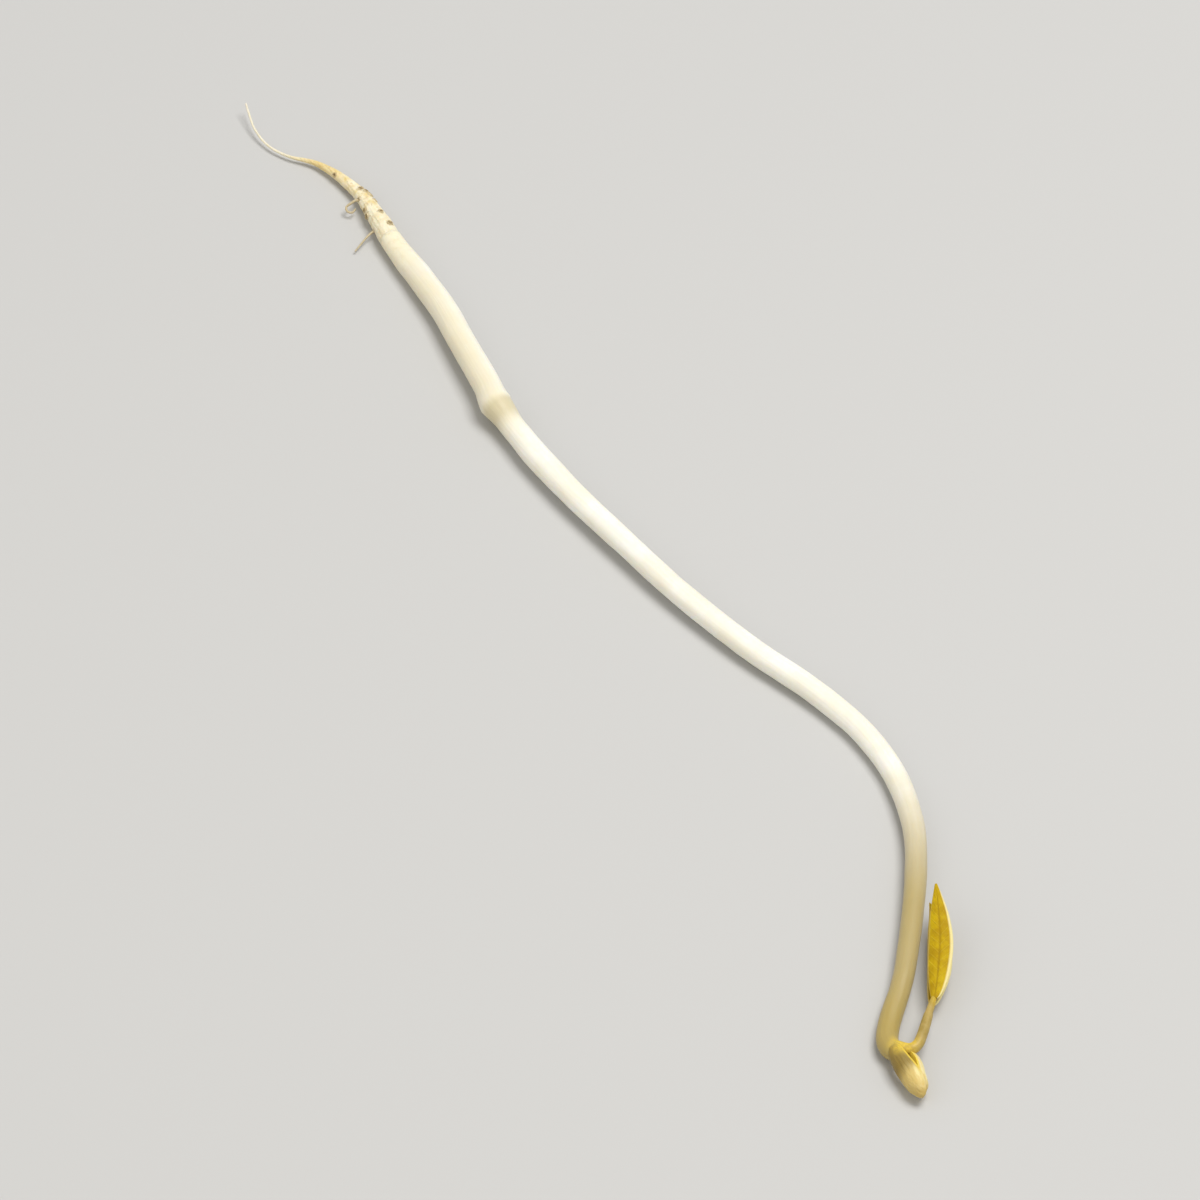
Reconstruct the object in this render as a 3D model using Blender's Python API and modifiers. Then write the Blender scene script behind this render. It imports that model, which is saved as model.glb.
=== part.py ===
"""Mung bean sprout, lying on a surface, at its real size.

Metres, +Z up. The resting surface is Z = 0. The root points to -X and the shoot to +X, and the
origin is the middle of the sprout's footprint.
"""

import math
import random

import bmesh
import bpy
from mathutils import Matrix, Vector

MM = 0.001

# Routes: each point is x, y, height of the middle, and thickness there, in millimetres.
# The stem thickens from the root's collar to a knob, steps down, and narrows to the hooked head.
COLLAR_X = -51.6
STEM_ROUTE = (
    (COLLAR_X + 0.1, -3.14, 1.25, 2.26),
    (-49.4, -3.1, 1.21, 2.38),
    (-46.9, -3.0, 1.215, 2.60),
    (-44.3, -2.9, 1.33, 2.72),
    (-39.2, -2.9, 1.53, 2.76),
    (-34.0, -3.3, 1.70, 2.77),
    (-28.9, -3.7, 1.86, 2.86),
    (-26.6, -3.9, 1.89, 2.88),
    (-25.4, -4.1, 1.91, 3.02),
    (-24.5, -4.22, 1.93, 3.20),
    (-23.8, -4.24, 1.91, 3.16),
    (-23.1, -4.16, 1.84, 2.98),
    (-22.5, -4.10, 1.76, 2.80),
    (-21.6, -4.05, 1.68, 2.62),
    (-20.5, -4.0, 1.62, 2.54),
    (-19.2, -3.9, 1.60, 2.58),
    (-15.5, -3.6, 1.60, 2.66),
    (-8.6, -2.65, 1.63, 2.56),
    (-2.1, -1.4, 1.66, 2.46),
    (5.7, 0.2, 1.58, 2.43),
    (11.7, 1.8, 1.47, 2.42),
    (17.6, 3.65, 1.37, 2.42),
    (23.7, 6.05, 1.26, 2.40),
    (29.3, 7.75, 1.14, 2.38),
    (34.0, 8.45, 1.085, 2.34),
    (38.8, 8.25, 1.13, 2.30),
    (43.0, 7.35, 1.27, 2.22),
    (47.2, 5.85, 1.42, 2.14),
    (53.3, 2.55, 1.54, 2.10),
    (60.25, -1.9, 1.34, 2.03),
    (63.05, -4.0, 1.16, 2.05),
    (65.25, -5.95, 1.02, 2.09),
    (67.1, -7.37, 0.97, 2.10),
    (68.5, -8.05, 1.06, 2.10),
    (69.6, -8.1, 1.24, 2.04),
    (70.2, -8.0, 1.38, 1.70),
)
# The taproot tapers from the collar to a thread, whose tip lifts off the surface.
ROOT_ROUTE = (
    (COLLAR_X - 0.1, -3.14, 1.24, 2.22),
    (-53.45, -3.0, 1.18, 2.12),
    (-55.2, -2.95, 1.10, 1.92),
    (-57.2, -2.9, 1.01, 1.64),
    (-59.2, -3.0, 0.92, 1.38),
    (-62.5, -3.7, 0.78, 1.03),
    (-65.15, -4.75, 0.66, 0.72),
    (-66.5, -5.8, 0.60, 0.60),
    (-67.4, -6.7, 0.56, 0.60),
    (-68.6, -7.5, 0.54, 0.60),
    (-69.9, -8.1, 0.56, 0.60),
    (-71.2, -8.4, 0.68, 0.60),
    (-72.7, -8.5, 0.92, 0.60),
    (-74.3, -8.3, 1.26, 0.60),
    (-76.0, -8.0, 1.62, 0.60),
)
# Two rootlets: where they leave the root and where they end.
CURLED_ROOTLET = (
    (-57.9, -3.2, 1.10, 0.60),
    (-58.0, -4.2, 1.15, 0.60),
    (-57.8, -5.0, 0.95, 0.60),
    (-57.2, -5.5, 0.70, 0.60),
)
STRAIGHT_ROOTLET = (
    (-53.4, -3.3, 1.05, 0.60),
    (-53.0, -4.7, 0.90, 0.60),
    (-52.5, -5.8, 0.62, 0.60),
    (-52.0, -6.8, 0.44, 0.60),
)
# The shoot above the seed leaves turns back along the stem in a hook and forks into two stalks.
SHOOT_ROUTE = (
    (70.05, -6.85, 1.75, 1.10),
    (70.65, -6.35, 1.95, 1.08),
    (70.90, -5.75, 2.08, 1.06),
    (70.65, -5.20, 2.16, 1.04),
    (69.95, -4.70, 2.20, 1.02),
    (69.05, -4.15, 2.22, 1.00),
    (68.10, -3.45, 2.24, 0.96),
)
NEAR_STALK = (
    (68.60, -3.85, 2.24, 0.80),
    (67.60, -3.00, 2.36, 0.74),
    (66.60, -2.25, 2.44, 0.70),
)
FAR_STALK = (
    (68.60, -3.85, 2.10, 0.80),
    (67.50, -3.05, 1.80, 0.74),
    (66.50, -2.40, 1.50, 0.70),
)
BUD_PLACE = (67.65, -3.15, 2.02)
BUD_SIZE = (1.3, 0.62, 0.62)

# Scars of lateral roots stand in four rows down the root, as they do on the living plant.
SCAR_ROWS = 4
SCARS_IN_ROW = 4
SCAR_FROM_X = -62.0
SCAR_TO_X = -53.0
SCAR_SIZE = 0.56
SCAR_SUNK = 0.16
SCAR_STRAY = 0.35
SCAR_SEED = 7

# The two seed leaves lie side by side as the halves of the bean, a slit apart.
SEED_LEAF_BASE = (70.38, -7.95, 1.44)
SEED_LEAF_LENGTH = 5.7
SEED_LEAF_THICKNESS = 1.3
SEED_LEAF_HEIGHT = 2.4
SEED_LEAF_FLAT_SIDE = 0.06
SEED_LEAF_STALK = 0.3
SEED_LEAF_FULLEST = 0.55
SLIT = 0.18
SEED_LEAF_TURN = math.radians(-4)
SEED_LEAF_SPREAD = math.radians(1.5)

# The first true leaves: narrow blades, one arched over the other as in the bud.
LEAF_THICKNESS = 0.6
NEAR_LEAF = ((66.45, -2.15, 2.50), (61.1, 1.15, 3.15), (54.6, 4.1, 3.80))
FAR_LEAF = ((66.35, -2.30, 1.42), (61.1, 1.20, 1.62), (55.5, 3.0, 2.60))
LEAF_WIDTH = 2.6
LEAF_BASE_WIDTH = 0.7
LEAF_TIP_WIDTH = 0.3
NEAR_LEAF_ARCH = 0.5
FAR_LEAF_ARCH = -0.3
LEAF_TILT = math.radians(-10)
LEAF_FOLD = 0.35
LEAF_SKEW = 0.85
LEAF_FULLNESS = 0.8
LEAF_ALONG = 16
LEAF_ACROSS = 6

# How finely the tubes are divided: millimetres along them, and Blender's bevel resolution around.
STEM_STEP = 2.0
ROOT_STEP = 0.9
ROOTLET_STEP = 0.6
SHOOT_STEP = 0.4
STEM_ROUNDNESS = 4
ROOT_ROUNDNESS = 2
STALK_ROUNDNESS = 1
ROOTLET_ROUNDNESS = 0
WELD = 0.000001
FLOOR_SLAB = (0.2, 0.06, 0.004)

parts = None
cutters = None


def start_empty():
    """Clears the scene and makes one collection for the sprout and one for its cutters."""
    global parts, cutters
    for old in list(bpy.data.objects):
        bpy.data.objects.remove(old, do_unlink=True)
    parts = bpy.data.collections.new("mung_bean_sprout")
    cutters = bpy.data.collections.new("cutters")
    bpy.context.scene.collection.children.link(parts)
    bpy.context.scene.collection.children.link(cutters)


def flesh(name, colour, roughness):
    """A plain material in the colour of that piece."""
    material = bpy.data.materials.new(name)
    material.use_nodes = True
    shader = material.node_tree.nodes["Principled BSDF"]
    shader.inputs["Base Color"].default_value = (*colour, 1)
    shader.inputs["Roughness"].default_value = roughness
    shader.inputs["Metallic"].default_value = 0
    return material


def smooth_route(route, step):
    """Points about a step apart on the smooth curve through a route, with their thickness."""
    ends = [route[0], *route, route[-1]]
    found = []
    for before, start, end, after in zip(ends, ends[1:], ends[2:], ends[3:]):
        pieces = max(1, round(math.dist(start[:3], end[:3]) / step))
        for piece in range(pieces):
            t = piece / pieces
            found.append(
                tuple(
                    0.5
                    * (
                        2 * p1
                        + (p2 - p0) * t
                        + (2 * p0 - 5 * p1 + 4 * p2 - p3) * t**2
                        + (3 * p1 - p0 - 3 * p2 + p3) * t**3
                    )
                    for p0, p1, p2, p3 in zip(before, start, end, after)
                )
            )
    found.append(tuple(route[-1]))
    return found


def tube(name, route, step, roundness):
    """A closed mesh tube whose thickness follows its route, swept from a curve with filled caps."""
    points = smooth_route(route, step)
    curve = bpy.data.curves.new(name, "CURVE")
    curve.dimensions = "3D"
    curve.bevel_depth = MM / 2
    curve.bevel_resolution = roundness
    curve.use_fill_caps = True
    spline = curve.splines.new("POLY")
    spline.points.add(len(points) - 1)
    for point, (x, y, z, thickness) in zip(spline.points, points):
        point.co = (x * MM, y * MM, z * MM, 1)
        point.radius = thickness
    swept = bpy.data.objects.new(name + "_curve", curve)
    parts.objects.link(swept)
    bpy.context.view_layer.update()
    graph = bpy.context.evaluated_depsgraph_get()
    mesh = bpy.data.meshes.new_from_object(swept.evaluated_get(graph))
    bpy.data.objects.remove(swept, do_unlink=True)
    bpy.data.curves.remove(curve)
    body = bmesh.new()
    body.from_mesh(mesh)
    bmesh.ops.remove_doubles(body, verts=body.verts, dist=WELD)
    bmesh.ops.recalc_face_normals(body, faces=body.faces)
    body.to_mesh(mesh)
    body.free()
    mesh.name = name
    return add(name, mesh)


def add(name, mesh, collection=None):
    piece = bpy.data.objects.new(name, mesh)
    (collection or parts).objects.link(piece)
    return piece


def ball(name, size, place, turn=None, rings=6):
    """A small rounded lump, longest along X before it is turned."""
    body = bmesh.new()
    bmesh.ops.create_uvsphere(body, u_segments=8, v_segments=rings, radius=0.5)
    bmesh.ops.scale(body, vec=Vector(size) * MM, verts=body.verts)
    if turn is not None:
        bmesh.ops.transform(body, matrix=turn.to_4x4(), verts=body.verts)
    bmesh.ops.translate(body, vec=Vector(place) * MM, verts=body.verts)
    mesh = bpy.data.meshes.new(name)
    body.to_mesh(mesh)
    body.free()
    return add(name, mesh)


def fuse(base, lumps):
    """Joins loose lumps into the piece that they grow from, as one body."""
    group = bpy.data.collections.new(base.name + "_growths")
    bpy.context.scene.collection.children.link(group)
    for lump in lumps:
        parts.objects.unlink(lump)
        group.objects.link(lump)
    union = base.modifiers.new("growths", "BOOLEAN")
    union.operation = "UNION"
    union.operand_type = "COLLECTION"
    union.collection = group
    apply_all(base)
    for lump in lumps:
        bpy.data.objects.remove(lump, do_unlink=True)
    bpy.data.collections.remove(group)


def apply_all(piece):
    """Replaces a piece's mesh by the one that its modifiers make."""
    bpy.context.view_layer.update()
    graph = bpy.context.evaluated_depsgraph_get()
    made = bpy.data.meshes.new_from_object(piece.evaluated_get(graph))
    piece.modifiers.clear()
    piece.data = made


def make_floor_cutter():
    """A slab with its top at the resting surface. It leaves small flats under the lowest spots."""
    body = bmesh.new()
    bmesh.ops.create_cube(body, size=1)
    bmesh.ops.scale(body, vec=FLOOR_SLAB, verts=body.verts)
    bmesh.ops.translate(body, vec=(0, 0, -FLOOR_SLAB[2] / 2), verts=body.verts)
    mesh = bpy.data.meshes.new("resting_surface")
    body.to_mesh(mesh)
    body.free()
    slab = add("resting_surface", mesh, cutters)
    slab.hide_render = True
    slab.display_type = "WIRE"
    return slab


def make_stem(floor):
    """The white stem, called the hypocotyl, with a small flat under each of its three low spots."""
    stem = tube("hypocotyl", STEM_ROUTE, STEM_STEP, STEM_ROUNDNESS)
    cut = stem.modifiers.new("resting_flats", "BOOLEAN")
    cut.operation = "DIFFERENCE"
    cut.object = floor
    return stem


def root_at(x):
    """Middle and thickness of the taproot at this x."""
    for start, end in zip(ROOT_ROUTE, ROOT_ROUTE[1:]):
        if end[0] <= x <= start[0]:
            share = (x - start[0]) / (end[0] - start[0])
            return [a + (b - a) * share for a, b in zip(start, end)]
    raise ValueError(x)


def make_root():
    """The taproot with its scars and rootlets, all sunk into it as one body."""
    root = tube("root", ROOT_ROUTE, ROOT_STEP, ROOT_ROUNDNESS)
    growths = [
        tube("curled_rootlet", CURLED_ROOTLET, ROOTLET_STEP, ROOTLET_ROUNDNESS),
        tube("straight_rootlet", STRAIGHT_ROOTLET, ROOTLET_STEP, ROOTLET_ROUNDNESS),
    ]
    chance = random.Random(SCAR_SEED)
    for row in range(SCAR_ROWS):
        angle = math.tau * (row + 0.5) / SCAR_ROWS
        for number in range(SCARS_IN_ROW):
            share = (number + chance.uniform(0.15, 0.85)) / SCARS_IN_ROW
            x, y, z, thickness = root_at(SCAR_FROM_X + (SCAR_TO_X - SCAR_FROM_X) * share)
            around = angle + chance.uniform(-SCAR_STRAY, SCAR_STRAY)
            reach = thickness / 2 - SCAR_SUNK
            place = (x, y + reach * math.cos(around), z + reach * math.sin(around))
            growths.append(ball("scar", (SCAR_SIZE, SCAR_SIZE, SCAR_SIZE), place, rings=5))
    fuse(root, growths)
    return root


def seed_leaf_swell(along):
    """How full the seed leaf is at a share of its length: a short stalk, then a rounded bean."""
    from_fullest = (along - SEED_LEAF_FULLEST) / (1 - SEED_LEAF_FULLEST)
    bean = math.sqrt(max(0, 1 - from_fullest**2))
    return max(bean, SEED_LEAF_STALK) if along < SEED_LEAF_FULLEST else bean


def make_seed_leaf(name, side):
    """One half of the bean: rounded outside, nearly flat towards the slit, drawn in at its base."""
    body = bmesh.new()
    bmesh.ops.create_uvsphere(body, u_segments=18, v_segments=12, radius=0.5)
    bmesh.ops.rotate(
        body, cent=(0, 0, 0), matrix=Matrix.Rotation(math.pi / 2, 3, "Y"), verts=body.verts
    )
    for vertex in body.verts:
        x, y, z = vertex.co
        along = x + 0.5
        ring = math.hypot(y, z)
        if ring > WELD:
            swell = seed_leaf_swell(along) / ring / 2
            y, z = y * swell, z * swell
        outward = y * 2 if y > 0 else y * 2 * SEED_LEAF_FLAT_SIDE
        vertex.co = (
            along * SEED_LEAF_LENGTH * MM,
            side * outward * SEED_LEAF_THICKNESS / (1 + SEED_LEAF_FLAT_SIDE) * MM,
            z * SEED_LEAF_HEIGHT * MM,
        )
    if side < 0:
        bmesh.ops.reverse_faces(body, faces=body.faces)
    inner = SEED_LEAF_THICKNESS * SEED_LEAF_FLAT_SIDE / (1 + SEED_LEAF_FLAT_SIDE)
    turn = Matrix.Rotation(SEED_LEAF_TURN, 4, "Z")
    spread = Matrix.Rotation(side * SEED_LEAF_SPREAD, 4, "Z")
    aside = Matrix.Translation((0, side * (SLIT / 2 + inner) * MM, 0))
    place = Matrix.Translation(Vector(SEED_LEAF_BASE) * MM)
    bmesh.ops.transform(body, matrix=place @ turn @ aside @ spread, verts=body.verts)
    mesh = bpy.data.meshes.new(name)
    body.to_mesh(mesh)
    body.free()
    return add(name, mesh)


def make_shoot():
    """The hooked shoot above the seed leaves, its two leaf stalks and the bud between them."""
    shoot = tube("epicotyl", SHOOT_ROUTE, SHOOT_STEP, ROOT_ROUNDNESS)
    away = Vector(NEAR_STALK[2][:3]) - Vector(NEAR_STALK[0][:3])
    turn = away.to_track_quat("X", "Z").to_matrix()
    growths = [
        tube("near_stalk", NEAR_STALK, SHOOT_STEP, STALK_ROUNDNESS),
        tube("far_stalk", FAR_STALK, SHOOT_STEP, STALK_ROUNDNESS),
        ball("bud", BUD_SIZE, BUD_PLACE, turn),
    ]
    fuse(shoot, growths)
    return shoot


def leaf_width(share):
    """Width of a lance-shaped blade at a share of its length from the base."""
    swell = math.sin(math.pi * share**LEAF_SKEW) ** LEAF_FULLNESS
    straight = LEAF_BASE_WIDTH + (LEAF_TIP_WIDTH - LEAF_BASE_WIDTH) * share
    return straight + (LEAF_WIDTH - straight) * swell


def make_leaf(name, spine, arch, tilt):
    """A thin arched blade whose spine runs through three points, folded a little at its midrib."""
    base, middle, tip = (Vector(point) for point in spine)
    pull = middle * 2 - (base + tip) / 2
    body = bmesh.new()
    bmesh.ops.create_grid(body, x_segments=LEAF_ALONG, y_segments=LEAF_ACROSS, size=0.5)
    for vertex in body.verts:
        share = vertex.co.x + 0.5
        side = vertex.co.y * 2
        centre = base * (1 - share) ** 2 + pull * 2 * share * (1 - share) + tip * share**2
        forward = ((pull - base) * (1 - share) + (tip - pull) * share).normalized()
        level = forward.cross(Vector((0, 0, 1))).normalized()
        raised = level.cross(forward)
        across = level * math.cos(tilt) - raised * math.sin(tilt)
        outward = level * math.sin(tilt) + raised * math.cos(tilt)
        width = leaf_width(share)
        curl = LEAF_FOLD * abs(side) + (1 - LEAF_FOLD) * side**2
        drop = arch * width / LEAF_WIDTH * curl
        vertex.co = (centre + across * side * width / 2 - outward * drop) * MM
    bmesh.ops.recalc_face_normals(body, faces=body.faces)
    mesh = bpy.data.meshes.new(name)
    body.to_mesh(mesh)
    body.free()
    leaf = add(name, mesh)
    wall = leaf.modifiers.new("thickness", "SOLIDIFY")
    wall.thickness = LEAF_THICKNESS * MM
    wall.offset = 0
    return leaf


def main():
    start_empty()
    floor = make_floor_cutter()
    white = flesh("stem_white", (0.86, 0.80, 0.62), 0.35)
    tan = flesh("root_tan", (0.62, 0.45, 0.22), 0.6)
    cream = flesh("seed_leaf_cream", (0.80, 0.62, 0.25), 0.45)
    pale_yellow = flesh("shoot_pale_yellow", (0.66, 0.52, 0.14), 0.4)
    yellow = flesh("leaf_yellow", (0.66, 0.46, 0.02), 0.45)
    pieces = (
        (make_stem(floor), white),
        (make_root(), tan),
        (make_seed_leaf("cotyledon_right", 1), cream),
        (make_seed_leaf("cotyledon_left", -1), cream),
        (make_shoot(), pale_yellow),
        (make_leaf("leaf_near", NEAR_LEAF, NEAR_LEAF_ARCH, LEAF_TILT), yellow),
        (make_leaf("leaf_far", FAR_LEAF, FAR_LEAF_ARCH, LEAF_TILT), yellow),
    )
    for piece, material in pieces:
        piece.data.materials.clear()
        piece.data.materials.append(material)
        piece.data.shade_smooth()


main()
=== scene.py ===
# %% [markdown]
# # A mung bean sprout, from the thread of its root to its first leaves
#
# One sprout lies on a pale surface: a tan taproot that thins to a thread, a long white stem with a
# knob, a hooked head with two seed leaves, a thin shoot, and two narrow yellow leaves.
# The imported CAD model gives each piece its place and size. This lesson gives them their looks.

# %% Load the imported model
import math
import random

import bmesh
import bpy
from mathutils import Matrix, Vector
from mathutils.kdtree import KDTree


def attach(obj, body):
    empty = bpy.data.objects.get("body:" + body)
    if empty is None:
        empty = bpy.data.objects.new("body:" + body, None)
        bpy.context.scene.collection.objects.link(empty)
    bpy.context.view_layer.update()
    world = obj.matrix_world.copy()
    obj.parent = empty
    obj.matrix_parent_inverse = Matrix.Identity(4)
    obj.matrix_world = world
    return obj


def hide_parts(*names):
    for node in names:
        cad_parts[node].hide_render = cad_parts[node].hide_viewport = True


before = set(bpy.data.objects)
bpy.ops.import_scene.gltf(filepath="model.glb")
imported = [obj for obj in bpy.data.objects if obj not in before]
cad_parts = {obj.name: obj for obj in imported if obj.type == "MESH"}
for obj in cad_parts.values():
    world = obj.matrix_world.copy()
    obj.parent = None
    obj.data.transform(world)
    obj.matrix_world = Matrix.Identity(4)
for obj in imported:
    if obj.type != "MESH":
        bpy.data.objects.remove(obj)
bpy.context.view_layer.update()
print("CAD nodes:", ", ".join(sorted(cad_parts)))

# %% [markdown]
# ## How the pieces are made
#
# A stem could be swept from a curve in one go, but then its knob, ridges and scars could not be
# shaped by hand. So each stem is grown straight along X, in millimetres, from one disc that is
# extruded ring by ring. It is bent into place last, by a Curve modifier that follows its route.
# Millimetres keep the numbers easy to read; the finished piece is shrunk to metres.

# %% Selecting, and taking one piece in hand
MM = 0.001


def deselect():
    """Leaves edit mode and deselects everything, the CAD nodes among it."""
    if bpy.context.object and bpy.context.object.mode != "OBJECT":
        bpy.ops.object.mode_set(mode="OBJECT")
    bpy.ops.object.select_all(action="DESELECT")


def take(*pieces):
    """Selects these pieces only, and makes the first of them the active one."""
    deselect()
    for piece in pieces:
        piece.select_set(True)
    bpy.context.view_layer.objects.active = pieces[0]


def pick(test):
    """In edit mode, selects only the vertices whose place passes the test."""
    bpy.ops.mesh.select_all(action="DESELECT")
    mesh = bpy.context.object.data
    shape = bmesh.from_edit_mesh(mesh)
    for vertex in shape.verts:
        if test(vertex.co):
            vertex.select_set(True)
    shape.select_flush(True)
    bmesh.update_edit_mesh(mesh)


# %% Finding points on a smooth route
def smooth_route(route, step):
    """Points about a step apart on the smooth curve through a route, with their thickness."""
    ends = [route[0], *route, route[-1]]
    found = []
    for before, start, end, after in zip(ends, ends[1:], ends[2:], ends[3:]):
        pieces = max(1, round(math.dist(start[:3], end[:3]) / step))
        for piece in range(pieces):
            t = piece / pieces
            found.append(
                tuple(
                    0.5
                    * (
                        2 * p1
                        + (p2 - p0) * t
                        + (2 * p0 - 5 * p1 + 4 * p2 - p3) * t**2
                        + (3 * p1 - p0 - 3 * p2 + p3) * t**3
                    )
                    for p0, p1, p2, p3 in zip(before, start, end, after)
                )
            )
    found.append(tuple(route[-1]))
    return found


def straighten(route, step):
    """The same route pulled straight: distance along it, and thickness there."""
    points = smooth_route(route, step)
    found = [(0, points[0][3])]
    for start, end in zip(points, points[1:]):
        found.append((found[-1][0] + math.dist(start[:3], end[:3]), end[3]))
    return found


# %% Growing a straight stalk ring by ring
def grow(name, rings, sides):
    """A closed stalk along X: a disc is extruded from ring to ring, (distance, width, height)."""
    deselect()
    here, width, height = rings[0]
    bpy.ops.mesh.primitive_circle_add(
        vertices=sides,
        radius=0.5,
        fill_type="NGON",
        location=(here, 0, 0),
        rotation=(0, math.pi / 2, 0),
    )
    piece = bpy.context.object
    piece.name = name
    bpy.ops.object.transform_apply(location=True, rotation=True, scale=True)
    bpy.ops.object.mode_set(mode="EDIT")
    bpy.ops.mesh.select_all(action="SELECT")
    bpy.ops.transform.resize(value=(1, width, height), center_override=(here, 0, 0))
    for there, new_width, new_height in rings[1:]:
        bpy.ops.mesh.extrude_region_move(TRANSFORM_OT_translate={"value": (there - here, 0, 0)})
        bpy.ops.transform.resize(
            value=(1, new_width / width, new_height / height), center_override=(there, 0, 0)
        )
        here, width, height = there, new_width, new_height
    bpy.ops.mesh.select_all(action="SELECT")
    bpy.ops.mesh.normals_make_consistent(inside=False)
    bpy.ops.object.mode_set(mode="OBJECT")
    return piece


def rounded_end(distance, thickness, bulge=1.0):
    """Rings that close a stalk with a dome, past its last ring."""
    return [
        (distance + math.sin(angle) * thickness / 2 * bulge, thickness * math.cos(angle))
        for angle in (math.radians(degrees) for degrees in (25, 48, 66, 79, 87))
    ]


# %% Bending a straight piece along its route
def bend(piece, route, step=0.4):
    """Bends a piece along a route: its X runs along it, and its Z stays up."""
    points = smooth_route(route, step)
    path = bpy.data.curves.new("guide", "CURVE")
    path.dimensions = "3D"
    path.twist_mode = "Z_UP"
    line = path.splines.new("POLY")
    line.points.add(len(points) - 1)
    for knot, point in zip(line.points, points):
        knot.co = (*point[:3], 1)
    guide = bpy.data.objects.new("guide", path)
    bpy.context.scene.collection.objects.link(guide)
    bpy.context.view_layer.update()
    take(piece)
    follow = piece.modifiers.new("follow the route", "CURVE")
    follow.object = guide
    follow.deform_axis = "POS_X"
    bpy.ops.object.modifier_apply(modifier=follow.name)
    bpy.data.objects.remove(guide, do_unlink=True)
    bpy.data.curves.remove(path)
    return piece


def modify(piece, kind, **settings):
    """Adds one modifier, sets it and applies it."""
    take(piece)
    change = piece.modifiers.new(kind.lower(), kind)
    for setting, value in settings.items():
        setattr(change, setting, value)
    bpy.ops.object.modifier_apply(modifier=change.name)


# %% Remembering where a point was before the bend
def remember_straight(piece):
    """Stores each point's straight place, so that streaks follow the bent piece."""
    take(piece)
    bpy.ops.geometry.attribute_add(name="straight", domain="POINT", data_type="FLOAT_VECTOR")
    places = [number for vertex in piece.data.vertices for number in vertex.co]
    piece.data.attributes["straight"].data.foreach_set("vector", places)


# %% Finishing a piece
def settle(piece, node, material):
    """Shrinks a piece to metres, gives it its material and hands it to the CAD frame."""
    take(piece)
    piece.scale = (MM, MM, MM)
    bpy.ops.object.transform_apply(location=True, rotation=True, scale=True)
    bpy.ops.object.shade_smooth_by_angle(angle=math.radians(60))
    piece.data.materials.append(material)
    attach(piece, "root")
    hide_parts(node)
    shape = bmesh.new()
    shape.from_mesh(piece.data)
    open_edges = sum(1 for edge in shape.edges if len(edge.link_faces) != 2)
    volume = shape.calc_volume(signed=True) / MM**3
    triangles = sum(len(face.verts) - 2 for face in shape.faces)
    shape.free()
    print(f"{piece.name}: {triangles} triangles, {open_edges} open edges, {volume:.1f} mm3")


# %% [markdown]
# ## Tools for the materials
#
# Plant skin is never one flat colour. Two effects come back on every piece, so each is a node
# group that is built once: streaks that run along a stem, and blotches. Each gives out a mask
# from 0 to 1, and every material mixes its own colours with it.

# %% Helpers that place nodes and link them
def put(tree, kind, values=None, **settings):
    """Adds a node, sets its properties, and fills or links its sockets by name or number."""
    made = tree.nodes.new(kind)
    for setting, value in settings.items():
        setattr(made, setting, value)
    for socket, value in (values or {}).items():
        if isinstance(value, bpy.types.NodeSocket):
            tree.links.new(value, made.inputs[socket])
        else:
            made.inputs[socket].default_value = value
    return made


def fade(tree, value, start, end):
    """A mask that goes smoothly from 0 at start to 1 at end."""
    made = put(
        tree,
        "ShaderNodeMapRange",
        {"Value": value, "From Min": start, "From Max": end},
        interpolation_type="SMOOTHSTEP",
    )
    return made.outputs["Result"]


def reckon(tree, operation, first, second=0.0, third=0.0):
    """One step of arithmetic."""
    values = {0: first, 1: second, 2: third}
    return put(tree, "ShaderNodeMath", values, operation=operation).outputs[0]


def blend(tree, mask, first, second, most=None):
    """Mixes two colours by a mask, or by no more than a share of it."""
    share = mask if most is None else reckon(tree, "MULTIPLY", mask, most)
    made = put(tree, "ShaderNodeMix", {0: share, 6: first, 7: second}, data_type="RGBA")
    return made.outputs[2]


# %% The node groups for streaks and blotches
def new_group(name, inputs):
    """An empty node group with these inputs and one mask as its output."""
    group = bpy.data.node_groups.new(name, "ShaderNodeTree")
    for socket, kind, value in inputs:
        made = group.interface.new_socket(socket, in_out="INPUT", socket_type=kind)
        if value is not None:
            made.default_value = value
    group.interface.new_socket("Mask", in_out="OUTPUT", socket_type="NodeSocketFloat")
    return group, group.nodes.new("NodeGroupInput"), group.nodes.new("NodeGroupOutput")


def make_streaks():
    """Long thin streaks: noise that is squeezed along X."""
    group, given, result = new_group(
        "Streaks along X",
        (
            ("Place", "NodeSocketVector", None),
            ("Length", "NodeSocketFloat", 6.0),
            ("Per unit across", "NodeSocketFloat", 3.0),
            ("Contrast", "NodeSocketFloat", 0.5),
        ),
    )
    along = reckon(group, "DIVIDE", 1.0, given.outputs["Length"])
    across = given.outputs["Per unit across"]
    size = put(group, "ShaderNodeCombineXYZ", {0: along, 1: across, 2: across})
    squeezed = put(
        group,
        "ShaderNodeVectorMath",
        {0: given.outputs["Place"], 1: size.outputs[0]},
        operation="MULTIPLY",
    )
    noise = put(
        group,
        "ShaderNodeTexNoise",
        {"Vector": squeezed.outputs[0], "Scale": 1.0, "Detail": 3.0, "Roughness": 0.55},
    )
    half = reckon(group, "MULTIPLY", given.outputs["Contrast"], 0.5)
    low = reckon(group, "SUBTRACT", 1.0, half)
    dark = reckon(group, "MULTIPLY", low, 0.5)
    light = reckon(group, "SUBTRACT", 1.0, dark)
    group.links.new(fade(group, noise.outputs[0], dark, light), result.inputs["Mask"])
    return group


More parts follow.
